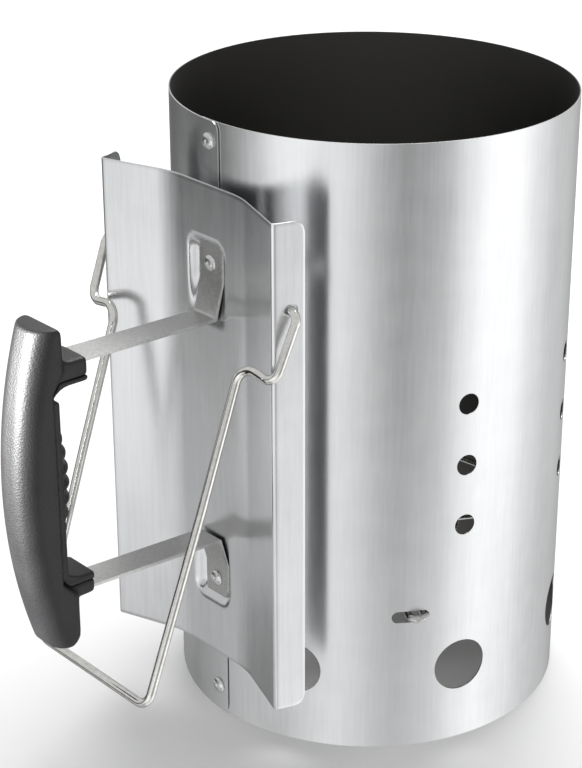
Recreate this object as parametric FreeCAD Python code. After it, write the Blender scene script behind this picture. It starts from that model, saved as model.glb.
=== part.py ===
"""Chimney charcoal starter with a screened grip and a swinging wire bail.

Units are millimetres.  The origin lies on the axis of the round shell, in the plane that
the shell stands on.  +Z is up and -X points to the grip, so the seam faces -X.
"""
import FreeCAD, Part
import math
import os

Vec = FreeCAD.Vector
UP = Vec(0, 0, 1)
ALONG_X = Vec(1, 0, 0)
ALONG_Y = Vec(0, 1, 0)

# ---- driving dimensions -----------------------------------------------------------------
SHEET = 0.7                     # thickness of the shell and the heat shield

SHELL_RADIUS = 95.0             # outer radius of the rolled shell
SHELL_HEIGHT = 300.0
LAP_INNER_EDGE = 174.5          # polar angle of the covered edge of the lap seam
LAP_OUTER_EDGE = 181.7          # polar angle of the edge that shows
LAP_LIFT_START = 140.0          # polar angle where the outer layer starts to lift
LAP_LIFT = 4.27                 # centre offset of the lifting arc
LAP_CORNER = 4.0
SEAM_RIVET_ANGLE = 178.1
SEAM_RIVET_HEIGHTS = {"bottom": 13.5, "top": 290.5}

VENT_RADIUS = 13.25
VENT_HEIGHT = 40.0
VENT_ANGLES = [0, 56.5, 105.5, 154.5, 205.5, 254.5, 303.5]
DRAUGHT_HOLE_RADIUS = 5.1
DRAUGHT_HOLE_HEIGHTS = [115.0, 145.5, 176.0]
DRAUGHT_HOLE_ANGLES = [0, 56.5, 105.5, 254.5, 303.5]

SLOT_LENGTH = 18.0
SLOT_HEIGHT = 6.0
SLOT_CENTRE_HEIGHT = 70.7
SLOT_ANGLE = 59.0               # first of four slots, a quarter turn apart

CARRIER_WIRE = 3.6
CARRIER_LEG_SPACING = 7.4
CARRIER_REACH = 97.9            # axis of the shell to the centreline of the end loop
CARRIER_CROSS_RISE = 1.85       # how far each pair bends up or down where the pairs cross
CARRIER_FLAT = 9.0
CARRIER_RAMP_END = 20.0
CARRIER_ANGLE = 60.93           # loops lie at one end of their slots
RING_WIRE = 3.0
RING_RADII = [24.0, 44.0, 64.0, 84.0]
WELD_GAP = 0.02

SHIELD_BOTTOM = 37.1
SHIELD_TOP = 273.2
SHIELD_PANEL_X = -100.8         # middle of the sheet in the flat centre panel
SHIELD_PANEL_HALF = 24.1
SHIELD_BEND_X = -113.4
SHIELD_BEND_Y = 59.5
SHIELD_EDGE_X = -99.4
SHIELD_EDGE_Y = 64.1
SHIELD_BEND_RADIUS = 1.6
SHIELD_CORNER = 5.0

POCKET_HALF_WIDTH = 12.5
POCKET_FLOOR_X = -96.3          # back of the pocket floor, just clear of the lap seam
POCKET_LENGTH = 36.5            # from the deep end to where the pocket has faded out
POCKET_FLAT = 18.6
POCKET_WALL = 3.0                # how far the deep end's wall slopes

STRAP_WIDTH = 15.0
STRAP_THICKNESS = 1.6
STRAP_BEND_X = -102.2
STRAP_END_X = -195.0
STRAP_BEND_RADIUS = 1.3
TAB_CORNER = 2.5
JOGGLE_FROM_RIVET = 8.0
UPPER_TAB_TOP = 245.0
UPPER_RIVET_Z = 235.6
UPPER_BEND_Z = 211.3
UPPER_STRAP_END_Z = 212.9
LOWER_TAB_BOTTOM = 67.0
LOWER_RIVET_Z = 75.9
LOWER_BEND_Z = 99.8
LOWER_STRAP_END_Z = 104.6

RIVET_SHANK = 2.2
RIVET_HEAD = 3.9
RIVET_HEAD_HEIGHT = 1.7
RIVET_PIT = 1.2
RIVET_TAIL = 3.3
RIVET_TAIL_LENGTH = 2.6
RIVET_HOLE = 2.35
WASHER_RADIUS = 6.0
WASHER_THICKNESS = 0.8
WASHER_GAP = 0.25                 # clears the curve of the wall

BAIL_WIRE = 4.2
BAIL_PIVOT_X = -105.5
BAIL_PIVOT_Z = 233.5
BAIL_HOLE_RADIUS = 3.0
BAIL_PIN_END_Y = 54.0
BAIL_SIDE_Y = 67.5

GRIP_HALF_WIDTH = 12.4
PRONG_HALF_WIDTH = 9.8
GRIP_OUTER_X = -210.2           # furthest point of the crowned back
GRIP_ARC_RADIUS = 243.5
GRIP_ARC_Z = 156.5
GRIP_TOP = 231.8
GRIP_BOTTOM = 79.5
GRIP_INNER_X = -187.0
LOBE_INNER_X = -184.6
PARTING_X = -193.0              # joint between the grip body and the finger cover
UPPER_PRONG = {"end": -173.2, "bottom": 203.7, "top": 214.8, "parting": 206.2}
LOWER_PRONG = {"end": -174.6, "bottom": 101.3, "top": 112.0, "parting": 108.6}
CROWN_RADIUS = 9.5
SIDE_RADIUS = 1.2
FINGER_BAR_RADIUS = 10.2
FINGER_ARC_RADIUS = 86.0
FINGER_ARC_Z = 158.0
RIB_COUNT = 9
RIB_PITCH = 6.6
RIB_ROUND = 2.6
RIB_MAJOR = 8.9
GRIP_CAVITY = {"x": -204.0, "bottom": 120.0, "top": 195.0, "half": 8.5}
SCREW_RADIUS = 1.7
SCREW_LENGTH = 9.4
SCREW_HEAD = 3.2
SCREW_HEAD_HEIGHT = 1.4
SCREW_SINK = 0.2
SCREW_X = -181.0
SCREW_CLEARANCE = 0.15


# ---- helpers ----------------------------------------------------------------------------
def polar(radius, angle, z=0.0):
    """Point at a polar angle in degrees."""
    turn = math.radians(angle)
    return Vec(radius * math.cos(turn), radius * math.sin(turn), z)


def face_xz(outline, y):
    """Flat face at one y from (x, z) corners."""
    corners = [Vec(x, y, z) for x, z in outline]
    return Part.Face(Part.makePolygon(corners + corners[:1]))


def slab(outline, half_width):
    """Solid between y = -half_width and +half_width from an (x, z) outline."""
    return face_xz(outline, -half_width).extrude(ALONG_Y * 2 * half_width)


def ribbon(points, thickness):
    """Outline of a sheet of even thickness that follows a bent line, with mitred bends."""
    sides = ([], [])
    for i, (u, v) in enumerate(points):
        normals = []
        for a, b in ((i - 1, i), (i, i + 1)):
            if 0 <= a and b < len(points):
                du = points[b][0] - points[a][0]
                dv = points[b][1] - points[a][1]
                length = math.hypot(du, dv)
                normals.append((-dv / length, du / length))
        nu = sum(n[0] for n in normals) / len(normals)
        nv = sum(n[1] for n in normals) / len(normals)
        reach = thickness / 2 / (nu * nu + nv * nv)
        for side, sign in zip(sides, (1, -1)):
            side.append((u + sign * reach * nu, v + sign * reach * nv))
    return sides[0] + sides[1][::-1]


def round_edges(solid, radius, wanted):
    """Fillet the edges whose middle point passes the test."""
    edges = [e for e in solid.Edges if wanted(e, e.valueAt((e.FirstParameter + e.LastParameter) / 2))]
    return solid.makeFillet(radius, edges)


def runs_along(edge, direction):
    """True for a straight edge parallel to the direction."""
    if not isinstance(edge.Curve, Part.Line):
        return False
    return abs(edge.tangentAt(edge.FirstParameter).dot(direction)) > 0.9999


def bent_path(points, radii):
    """Straight runs joined by tangent arcs, one radius for each inner point."""
    edges = []
    start = points[0]
    for before, corner, after, radius in zip(points, points[1:], points[2:], radii):
        arriving = (corner - before).normalize()
        leaving = (after - corner).normalize()
        half_turn = arriving.getAngle(leaving) / 2
        setback = radius * math.tan(half_turn)
        arc_start = corner - arriving * setback
        arc_end = corner + leaving * setback
        inward = (leaving - arriving).normalize()
        middle = corner + inward * (radius / math.cos(half_turn) - radius)
        if (arc_start - start).Length > 1e-6:
            edges.append(Part.makeLine(start, arc_start))
        edges.append(Part.Arc(arc_start, middle, arc_end).toShape())
        start = arc_end
    edges.append(Part.makeLine(start, points[-1]))
    return Part.Wire(edges)


def round_wire(path, diameter):
    """Solid of round wire along a path."""
    start = path.Edges[0]
    at = start.valueAt(start.FirstParameter)
    along = start.tangentAt(start.FirstParameter)
    section = Part.Wire(Part.makeCircle(diameter / 2, at, along))
    return path.makePipeShell([section], True, True)


def radial_pin(radius, angle, z):
    """Cutter that passes through the shell wall at one angle."""
    return Part.makeCylinder(radius, 30, polar(SHELL_RADIUS - 15, angle, z), polar(1, angle))


def lifted_radius(layer_radius, angle):
    """Distance from the axis to the lifting arc at a polar angle."""
    turn = math.radians(angle - LAP_LIFT_START)
    rho = layer_radius + LAP_LIFT
    return math.sqrt(rho ** 2 - (LAP_LIFT * math.sin(turn)) ** 2) - LAP_LIFT * math.cos(turn)


def blind_rivet(grip):
    """Domed rivet along +Z: the head sits on z = 0 and the tail starts at z = -grip."""
    dome = 1.3
    head = Part.makeCylinder(RIVET_HEAD, RIVET_HEAD_HEIGHT)
    head = round_edges(head, dome, lambda e, m: abs(m.z - RIVET_HEAD_HEIGHT) < 0.01)
    tail = Part.makeCylinder(RIVET_TAIL, RIVET_TAIL_LENGTH, Vec(0, 0, -grip - RIVET_TAIL_LENGTH))
    tail = round_edges(tail, dome, lambda e, m: m.z < -grip - RIVET_TAIL_LENGTH + 0.01)
    shank = Part.makeCylinder(RIVET_SHANK, grip + 0.5, Vec(0, 0, -grip - 0.25))
    pit = Part.makeCylinder(RIVET_PIT, RIVET_HEAD_HEIGHT, Vec(0, 0, RIVET_HEAD_HEIGHT - 0.7))
    return head.fuse([shank, tail]).cut(pit).removeSplitter()


def point_along(solid, direction, place):
    """Turn a solid from +Z to a direction and move its origin to a place."""
    turned = solid.copy()
    turned.Placement = FreeCAD.Placement(place, FreeCAD.Rotation(UP, direction))
    return turned


# ---- shell ------------------------------------------------------------------------------
def shell():
    """Rolled sheet with a lap seam, vents, draught holes and grate slots."""
    outer = SHELL_RADIUS
    inner = SHELL_RADIUS - SHEET
    lift_centre = polar(-LAP_LIFT, LAP_LIFT_START)

    def arc(radius, first, last):
        middle = (first + last) / 2
        return Part.Arc(polar(radius, first), polar(radius, middle), polar(radius, last)).toShape()

    def lift_arc(radius):
        end = polar(lifted_radius(radius, LAP_OUTER_EDGE), LAP_OUTER_EDGE)
        half = (LAP_LIFT_START + LAP_OUTER_EDGE) / 2
        middle = polar(lifted_radius(radius, half), half)
        return Part.Arc(polar(radius, LAP_LIFT_START), middle, end).toShape(), end

    full_turn = LAP_LIFT_START + 360
    halfway = (LAP_INNER_EDGE + full_turn) / 2
    outer_lift, outer_end = lift_arc(outer)
    inner_lift, inner_end = lift_arc(inner)
    edges = [
        arc(outer, LAP_INNER_EDGE, halfway), arc(outer, halfway, full_turn), outer_lift,
        Part.makeLine(outer_end, inner_end), inner_lift,
        arc(inner, full_turn, halfway), arc(inner, halfway, LAP_INNER_EDGE),
        Part.makeLine(polar(inner, LAP_INNER_EDGE), polar(outer, LAP_INNER_EDGE)),
    ]
    wall = Part.Face(Part.Wire(Part.__sortEdges__(edges))).extrude(UP * SHELL_HEIGHT)
    lap_direction = (outer_end - inner_end).normalize()
    lap_middle = (outer_end + inner_end) / 2

    def is_lap_corner(edge, middle):
        flat = Vec(middle.x, middle.y, 0)
        return runs_along(edge, lap_direction) and (flat - lap_middle).Length < 0.1

    wall = round_edges(wall, LAP_CORNER, is_lap_corner)
    cutters = [radial_pin(VENT_RADIUS, a, VENT_HEIGHT) for a in VENT_ANGLES]
    for angle in DRAUGHT_HOLE_ANGLES:
        cutters += [radial_pin(DRAUGHT_HOLE_RADIUS, angle, z) for z in DRAUGHT_HOLE_HEIGHTS]
    for quarter in range(4):
        cutters.append(grate_slot(SLOT_ANGLE + 90 * quarter))
    for z in SEAM_RIVET_HEIGHTS.values():
        cutters.append(radial_pin(RIVET_HOLE, SEAM_RIVET_ANGLE, z))
    for z in (UPPER_RIVET_Z, LOWER_RIVET_Z):
        cutters.append(radial_pin(RIVET_HOLE, 180, z))
    return wall.cut(cutters)


def grate_slot(angle):
    """Round-ended slot cutter through the shell."""
    half = (SLOT_LENGTH - SLOT_HEIGHT) / 2
    bar = Part.makeBox(30, 2 * half, SLOT_HEIGHT, Vec(SHELL_RADIUS - 15, -half, -SLOT_HEIGHT / 2))
    ends = [Part.makeCylinder(SLOT_HEIGHT / 2, 30, Vec(SHELL_RADIUS - 15, s * half, 0), ALONG_X)
            for s in (-1, 1)]
    slot = bar.fuse(ends)
    slot.Placement = FreeCAD.Placement(Vec(0, 0, SLOT_CENTRE_HEIGHT), FreeCAD.Rotation(UP, angle))
    return slot


def seam_rivet(place):
    """Blind rivet that closes the lap seam."""
    seat = lifted_radius(SHELL_RADIUS, SEAM_RIVET_ANGLE) + 0.15
    grip = seat - (SHELL_RADIUS - SHEET) + 0.15
    outward = polar(1, SEAM_RIVET_ANGLE)
    return point_along(blind_rivet(grip), outward, outward * seat + UP * SEAM_RIVET_HEIGHTS[place])


# ---- charcoal grate ---------------------------------------------------------------------
def grate_carrier(quarter, side):
    """Hairpin loop of wire whose two ends stand out through opposite slots.

    side is +1 for the pair that bends up at the crossing and -1 for the pair below it.
    """
    half = CARRIER_LEG_SPACING / 2
    rise = side * CARRIER_CROSS_RISE
    bend = 6.0
    end = CARRIER_REACH
    near = [Vec(0, half, rise), Vec(CARRIER_FLAT, half, rise), Vec(CARRIER_RAMP_END, half, 0),
            Vec(end, half, 0)]
    far = [Vec(p.x, -half, p.z) for p in reversed(near)]
    loop = half - 0.05
    path = bent_path(near + far, [bend, bend, loop, loop, bend, bend])
    one_half = round_wire(path, CARRIER_WIRE)
    other_half = one_half.mirror(Vec(0, 0, 0), ALONG_X)
    carrier = one_half.fuse(other_half).removeSplitter()
    angle = CARRIER_ANGLE + 90 * quarter
    carrier.Placement = FreeCAD.Placement(Vec(0, 0, SLOT_CENTRE_HEIGHT), FreeCAD.Rotation(UP, angle))
    return carrier


def grate_ring(radius):
    """Ring of wire that lies on both carriers."""
    z = SLOT_CENTRE_HEIGHT + (CARRIER_WIRE + RING_WIRE) / 2 + WELD_GAP
    return Part.makeTorus(radius, RING_WIRE / 2, Vec(0, 0, z), UP)


# ---- heat shield ------------------------------------------------------------------------
def pocket_outline(deep_z, sign, skin):
    """(x, z) outline of a pressed pocket; skin 0 is its outer face and SHEET its back."""
    face_x = SHIELD_PANEL_X - SHEET / 2 - 0.5 * (skin == 0)
    floor_x = POCKET_FLOOR_X - SHEET + skin
    start = deep_z + sign * (POCKET_WALL + skin)
    fade = deep_z - sign * (POCKET_LENGTH + skin)
    return [(face_x, start), (floor_x, deep_z + sign * skin), (floor_x, deep_z - sign * POCKET_FLAT),
            (face_x, fade)]


def heat_shield():
    """Bent sheet between the hot shell and the hand, with two pockets for the straps."""
    line = [(SHIELD_EDGE_X, -SHIELD_EDGE_Y), (SHIELD_BEND_X, -SHIELD_BEND_Y),
            (SHIELD_PANEL_X, -SHIELD_PANEL_HALF), (SHIELD_PANEL_X, SHIELD_PANEL_HALF),
            (SHIELD_BEND_X, SHIELD_BEND_Y), (SHIELD_EDGE_X, SHIELD_EDGE_Y)]
    corners = [Vec(x, y, SHIELD_BOTTOM) for x, y in ribbon(line, SHEET)]
    face = Part.Face(Part.makePolygon(corners + corners[:1]))
    sheet = face.extrude(UP * (SHIELD_TOP - SHIELD_BOTTOM))

    def near_bend(inside):
        def test(edge, middle):
            if not runs_along(edge, UP) or abs(abs(middle.y) - SHIELD_BEND_Y) > 1.5:
                return False
            return (middle.x > SHIELD_BEND_X) == inside
        return test

    sheet = round_edges(sheet, SHIELD_BEND_RADIUS, near_bend(False))
    sheet = round_edges(sheet, SHIELD_BEND_RADIUS - SHEET, near_bend(True))
    sheet = round_edges(sheet, SHIELD_CORNER, lambda e, m: (
        e.Length < SHEET * 1.05 and abs(m.x - SHIELD_EDGE_X) < 1.0 and isinstance(e.Curve, Part.Line)))
    for deep_z, sign in ((UPPER_TAB_TOP + 0.8, 1), (LOWER_TAB_BOTTOM - 0.8, -1)):
        cavity = slab(pocket_outline(deep_z, sign, 0), POCKET_HALF_WIDTH)
        skin = slab(pocket_outline(deep_z, sign, SHEET), POCKET_HALF_WIDTH + SHEET)
        sheet = sheet.fuse(skin).cut(cavity)
    holes = [Part.makeCylinder(RIVET_HOLE, 20, Vec(-110, 0, z), ALONG_X)
             for z in (UPPER_RIVET_Z, LOWER_RIVET_Z)]
    for side in (1, -1):
        start = Vec(BAIL_PIVOT_X, side * (SHIELD_BEND_Y - 1.0), BAIL_PIVOT_Z)
        holes.append(Part.makeCylinder(BAIL_HOLE_RADIUS, 15, start, ALONG_Y * side))
    return sheet.cut(holes).removeSplitter()


# ---- straps and their rivets ------------------------------------------------------------
def strap(tab_end_z, rivet_z, bend_z, strap_end_z):
    """Flat strap: a tab riveted to the shell, a bend, and an arm that enters the grip."""
    tab_x = POCKET_FLOOR_X - SHEET - 0.05 - STRAP_THICKNESS / 2
    toward_bend = 1 if bend_z > rivet_z else -1
    joggle_z = rivet_z + toward_bend * JOGGLE_FROM_RIVET
    line = [(tab_x, tab_end_z), (tab_x, joggle_z), (STRAP_BEND_X, bend_z), (STRAP_END_X, strap_end_z)]
    arm = slab(ribbon(line, STRAP_THICKNESS), STRAP_WIDTH / 2)
    bend_line = Vec(STRAP_BEND_X, 0, bend_z)

    def at_bend(edge, middle):
        near = (Vec(middle.x, 0, middle.z) - bend_line).Length < STRAP_THICKNESS
        return runs_along(edge, ALONG_Y) and near

    arm = round_edges(arm, STRAP_BEND_RADIUS, at_bend)
    arm = round_edges(arm, TAB_CORNER, lambda e, m: runs_along(e, ALONG_X) and abs(m.z - tab_end_z) < 0.1)
    rivet_hole = Part.makeCylinder(RIVET_HOLE, 20, Vec(-110, 0, rivet_z), ALONG_X)
    screw_hole = Part.makeCylinder(SCREW_RADIUS + SCREW_CLEARANCE, 20, Vec(SCREW_X, 0, strap_end_z - 10), UP)
    return arm.cut([rivet_hole, screw_hole])


def strap_rivet(z):
    """Blind rivet through the tab, the shield and the shell."""
    seat = POCKET_FLOOR_X - SHEET - 0.05 - STRAP_THICKNESS
    grip = -seat - (SHELL_RADIUS - SHEET) + WASHER_THICKNESS + 0.3
    return point_along(blind_rivet(grip), Vec(-1, 0, 0), Vec(seat, 0, z))


def rivet_washer(z):
    """Washer that backs the rivet tail inside the shell."""
    start = Vec(-SHELL_RADIUS + SHEET + WASHER_GAP, 0, z)
    disc = Part.makeCylinder(WASHER_RADIUS, WASHER_THICKNESS, start, ALONG_X)
    return disc.cut(Part.makeCylinder(RIVET_HOLE, WASHER_THICKNESS, start, ALONG_X))


# ---- bail -------------------------------------------------------------------------------
def bail():
    """Wire bail: hooked pins, an S-bend that rests on the shield, long legs and a crossbar."""
    half = [
        Vec(BAIL_PIVOT_X, BAIL_PIN_END_Y, BAIL_PIVOT_Z),
        Vec(BAIL_PIVOT_X, BAIL_SIDE_Y, BAIL_PIVOT_Z),
        Vec(-117.6, 65.6, 203.6),
        Vec(-118.4, 44.4, 207.2),
        Vec(-141.0, 43.6, 143.0),
        Vec(-172.2, 41.3, 54.8),
    ]
    radii = [5.0, 6.0, 8.0, 120.0, 7.0]
    other = [Vec(p.x, -p.y, p.z) for p in reversed(half)]
    return round_wire(bent_path(half + other, radii + radii[::-1]), BAIL_WIRE)


# ---- grip -------------------------------------------------------------------------------
def prong(sizes, root_x):
    """Arm of the grip around one strap."""
    outline = [(sizes["end"], sizes["bottom"]), (sizes["end"], sizes["top"]),
               (root_x, sizes["top"]), (root_x, sizes["bottom"])]
    return round_edges(slab(outline, PRONG_HALF_WIDTH), SIDE_RADIUS,
                       lambda e, m: abs(m.x - sizes["end"]) < 0.1 or runs_along(e, ALONG_X))


def crowned_back():
    """Turned form with a D-shaped section that gives the back of the grip its crown."""
    far = GRIP_ARC_RADIUS
    deep = far - 60
    side = GRIP_HALF_WIDTH
    crown = CROWN_RADIUS

    def point(radius, y):
        return Vec(GRIP_OUTER_X + far - radius, y, GRIP_ARC_Z)

    def corner(sign):
        bulge = crown * (1 - math.sqrt(0.5))
        start = point(far - crown, sign * side)
        end = point(far, sign * (side - crown))
        return Part.Arc(start, point(far - bulge, sign * (side - bulge)), end).toShape(), start, end

    low, low_start, low_end = corner(-1)
    high, high_start, high_end = corner(1)
    edges = [Part.makeLine(point(deep, -side), low_start), low, Part.makeLine(low_end, high_end), high,
             Part.makeLine(high_start, point(deep, side)), Part.makeLine(point(deep, side), point(deep, -side))]
    face = Part.Face(Part.Wire(edges))
    centre = Vec(GRIP_OUTER_X + far, 0, GRIP_ARC_Z)
    face.rotate(centre, ALONG_Y, -30)
    return face.revolve(centre, ALONG_Y, 60)


def whole_grip():
    """Outer form of the grip before it is divided into body and cover."""
    outline = [(GRIP_INNER_X, GRIP_TOP), (GRIP_OUTER_X + 7, GRIP_TOP), (GRIP_OUTER_X - 5, GRIP_TOP - 12),
               (GRIP_OUTER_X - 5, GRIP_BOTTOM + 14), (GRIP_OUTER_X + 14, GRIP_BOTTOM),
               (LOBE_INNER_X, GRIP_BOTTOM), (LOBE_INNER_X, LOWER_PRONG["bottom"] + 3),
               (PARTING_X, LOWER_PRONG["top"]), (PARTING_X, UPPER_PRONG["bottom"]),
               (GRIP_INNER_X, UPPER_PRONG["top"] - 3)]
    form = slab(outline, GRIP_HALF_WIDTH)
    corners = [(GRIP_INNER_X, GRIP_TOP, 3.0), (GRIP_OUTER_X + 7, GRIP_TOP, 9.0),
               (GRIP_OUTER_X + 14, GRIP_BOTTOM, 9.0), (LOBE_INNER_X, GRIP_BOTTOM, 6.5)]
    for x, z, radius in corners:
        form = round_edges(form, radius, lambda e, m: (
            runs_along(e, ALONG_Y) and math.hypot(m.x - x, m.z - z) < 0.1))
    form = form.common(crowned_back())
    return round_edges(form, SIDE_RADIUS, lambda e, m: (
        abs(abs(m.y) - GRIP_HALF_WIDTH) < 0.01 and (m.z > GRIP_TOP - 9 or m.z < GRIP_BOTTOM + 9)))


def inner_fillet(corner_x, corner_z, away_x, away_z, radius, half_width):
    """Concave fillet piece in a corner that opens toward (away_x, away_z)."""
    box = slab([(corner_x, corner_z), (corner_x + away_x * radius, corner_z),
                (corner_x + away_x * radius, corner_z + away_z * radius),
                (corner_x, corner_z + away_z * radius)], half_width)
    centre = Vec(corner_x + away_x * radius, -half_width - 1, corner_z + away_z * radius)
    return box.cut(Part.makeCylinder(radius, 2 * half_width + 2, centre, ALONG_Y))


def finger_bar():
    """Barrel of rounded ribs on the finger side."""
    centre = Vec(PARTING_X - FINGER_ARC_RADIUS, 0, FINGER_ARC_Z)
    half_turn = math.degrees(RIB_COUNT / 2 * RIB_PITCH / FINGER_ARC_RADIUS)
    bar = Part.makeTorus(FINGER_ARC_RADIUS, FINGER_BAR_RADIUS, centre, ALONG_Y)
    ribs = []
    for i in range(RIB_COUNT):
        turn = (i - (RIB_COUNT - 1) / 2) * RIB_PITCH / FINGER_ARC_RADIUS
        place = centre + Vec(math.cos(turn), 0, math.sin(turn)) * FINGER_ARC_RADIUS
        ribs.append(Part.makeTorus(RIB_MAJOR, RIB_ROUND, place, Vec(-math.sin(turn), 0, math.cos(turn))))
    reach = FINGER_ARC_RADIUS * math.sin(math.radians(half_turn))
    keep = Part.makeBox(40, 40, 2 * reach + 8, Vec(PARTING_X, -20, FINGER_ARC_Z - reach - 4))
    return bar.fuse(ribs).common(keep)


def cover_zone():
    """Space on the finger side of the parting line."""
    return slab([(-165, UPPER_PRONG["parting"]), (PARTING_X + 5, UPPER_PRONG["parting"]),
                 (PARTING_X, UPPER_PRONG["parting"] - 7), (PARTING_X, LOWER_PRONG["parting"] + 5),
                 (PARTING_X + 5, LOWER_PRONG["parting"]), (-165, LOWER_PRONG["parting"])], 30)


def grip_pieces():
    """Grip body and finger cover, with the strap slots and screw holes cut."""
    upper = prong(UPPER_PRONG, PARTING_X - 4)
    lower = prong(LOWER_PRONG, PARTING_X - 4)
    fillets = [
        inner_fillet(PARTING_X, UPPER_PRONG["bottom"], 1, -1, 9.0, PRONG_HALF_WIDTH),
        inner_fillet(PARTING_X, LOWER_PRONG["top"], 1, 1, 13.0, PRONG_HALF_WIDTH),
        inner_fillet(GRIP_INNER_X, UPPER_PRONG["top"], 1, 1, 5.0, PRONG_HALF_WIDTH),
    ]
    grip = whole_grip().fuse([upper, lower] + fillets)
    plate_bottom = LOWER_PRONG["parting"] + 5.4
    plate_top = UPPER_PRONG["parting"] - 7.4
    plate = Part.makeBox(4.0, 2 * GRIP_HALF_WIDTH - 2.4, plate_top - plate_bottom,
                         Vec(PARTING_X, -GRIP_HALF_WIDTH + 1.2, plate_bottom))
    plate = round_edges(plate, 1.5, lambda e, m: m.x > PARTING_X + 3.9)
    zone = cover_zone()
    cover = grip.common(zone).fuse([plate, finger_bar()])
    body = grip.cut(zone)
    cavity = Part.makeBox(PARTING_X - GRIP_CAVITY["x"], 2 * GRIP_CAVITY["half"],
                          GRIP_CAVITY["top"] - GRIP_CAVITY["bottom"],
                          Vec(GRIP_CAVITY["x"], -GRIP_CAVITY["half"], GRIP_CAVITY["bottom"]))
    tools = [strap_space(UPPER_BEND_Z, UPPER_STRAP_END_Z),
             strap_space(LOWER_BEND_Z, LOWER_STRAP_END_Z),
             grip_screw_space(UPPER_PRONG["bottom"]), grip_screw_space(LOWER_PRONG["bottom"])]
    return body.cut(tools + [cavity]).removeSplitter(), cover.cut(tools).removeSplitter()


def strap_space(bend_z, strap_end_z):
    """Slot in the grip for a strap, a little larger than the strap."""
    line = [(STRAP_BEND_X, bend_z), (STRAP_END_X - 0.3, strap_end_z)]
    return slab(ribbon(line, STRAP_THICKNESS + 0.1), STRAP_WIDTH / 2 + 0.1)


def screw_solid(extra):
    """Pan-head screw along +Z with its head from z = 0; extra widens it for its hole."""
    head = Part.makeCylinder(SCREW_HEAD + extra, SCREW_HEAD_HEIGHT)
    shank = Part.makeCylinder(SCREW_RADIUS + extra, SCREW_LENGTH + extra)
    return head.fuse(shank)


def grip_screw(bottom_z):
    """Screw that clamps a strap in its prong, sunk in the underside."""
    screw = screw_solid(0)
    drive = Part.makeBox(4.4, 0.9, 1.0, Vec(-2.2, -0.45, 0))
    cross = drive.fuse(Part.makeBox(0.9, 4.4, 1.0, Vec(-0.45, -2.2, 0)))
    return point_along(screw.cut(cross), UP, Vec(SCREW_X, 0, bottom_z + SCREW_SINK))


def grip_screw_space(bottom_z):
    """Hole for one grip screw, open at the underside of the prong."""
    opening = Part.makeCylinder(SCREW_HEAD + SCREW_CLEARANCE, 2, Vec(0, 0, -1.5))
    hole = screw_solid(SCREW_CLEARANCE).fuse(opening)
    return point_along(hole, UP, Vec(SCREW_X, 0, bottom_z + SCREW_SINK))


# ---- all pieces -------------------------------------------------------------------------
def all_pieces():
    """Every sub-part by node name."""
    body, cover = grip_pieces()
    pieces = {
        "shell": shell(),
        "seam_rivet_top": seam_rivet("top"),
        "seam_rivet_bottom": seam_rivet("bottom"),
        "heat_shield": heat_shield(),
        "handle_strap_upper": strap(UPPER_TAB_TOP, UPPER_RIVET_Z, UPPER_BEND_Z, UPPER_STRAP_END_Z),
        "handle_strap_lower": strap(LOWER_TAB_BOTTOM, LOWER_RIVET_Z, LOWER_BEND_Z, LOWER_STRAP_END_Z),
        "strap_rivet_upper": strap_rivet(UPPER_RIVET_Z),
        "strap_rivet_lower": strap_rivet(LOWER_RIVET_Z),
        "rivet_washer_upper": rivet_washer(UPPER_RIVET_Z),
        "rivet_washer_lower": rivet_washer(LOWER_RIVET_Z),
        "grip_body": body,
        "finger_cover": cover,
        "grip_screw_upper": grip_screw(UPPER_PRONG["bottom"]),
        "grip_screw_lower": grip_screw(LOWER_PRONG["bottom"]),
        "bail": bail(),
        "grate_carrier_lower": grate_carrier(0, -1),
        "grate_carrier_upper": grate_carrier(1, 1),
    }
    for number, radius in enumerate(RING_RADII, start=1):
        pieces[f"grate_ring_{number}"] = grate_ring(radius)
    return pieces


os.makedirs("parts", exist_ok=True)
for name, shape in all_pieces().items():
    solid_count = len(shape.Solids)
    print(f"{name:22s} solids {solid_count} valid {shape.isValid()} volume {shape.Volume:10.1f}")
    shape.exportStep(f"parts/{name}.step")
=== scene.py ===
"""Looks of a chimney charcoal starter: coated sheet steel, bright wire and a black moulded grip."""
import math

import bmesh
import bpy
from mathutils import Matrix, Vector


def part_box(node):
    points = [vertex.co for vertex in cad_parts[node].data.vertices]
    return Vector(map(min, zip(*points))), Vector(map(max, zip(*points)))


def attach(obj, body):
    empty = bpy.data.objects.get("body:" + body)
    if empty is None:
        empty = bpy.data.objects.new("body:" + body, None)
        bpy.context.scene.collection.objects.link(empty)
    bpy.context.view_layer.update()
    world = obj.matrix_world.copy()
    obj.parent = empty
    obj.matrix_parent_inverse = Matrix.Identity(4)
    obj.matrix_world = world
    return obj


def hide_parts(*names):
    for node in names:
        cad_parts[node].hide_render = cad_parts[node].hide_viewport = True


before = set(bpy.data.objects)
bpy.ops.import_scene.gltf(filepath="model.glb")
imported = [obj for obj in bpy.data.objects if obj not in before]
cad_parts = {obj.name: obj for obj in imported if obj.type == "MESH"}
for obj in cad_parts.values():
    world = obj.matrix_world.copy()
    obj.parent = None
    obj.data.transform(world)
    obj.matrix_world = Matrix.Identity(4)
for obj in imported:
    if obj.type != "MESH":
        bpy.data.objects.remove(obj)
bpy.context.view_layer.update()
MM = 0.001

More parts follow.
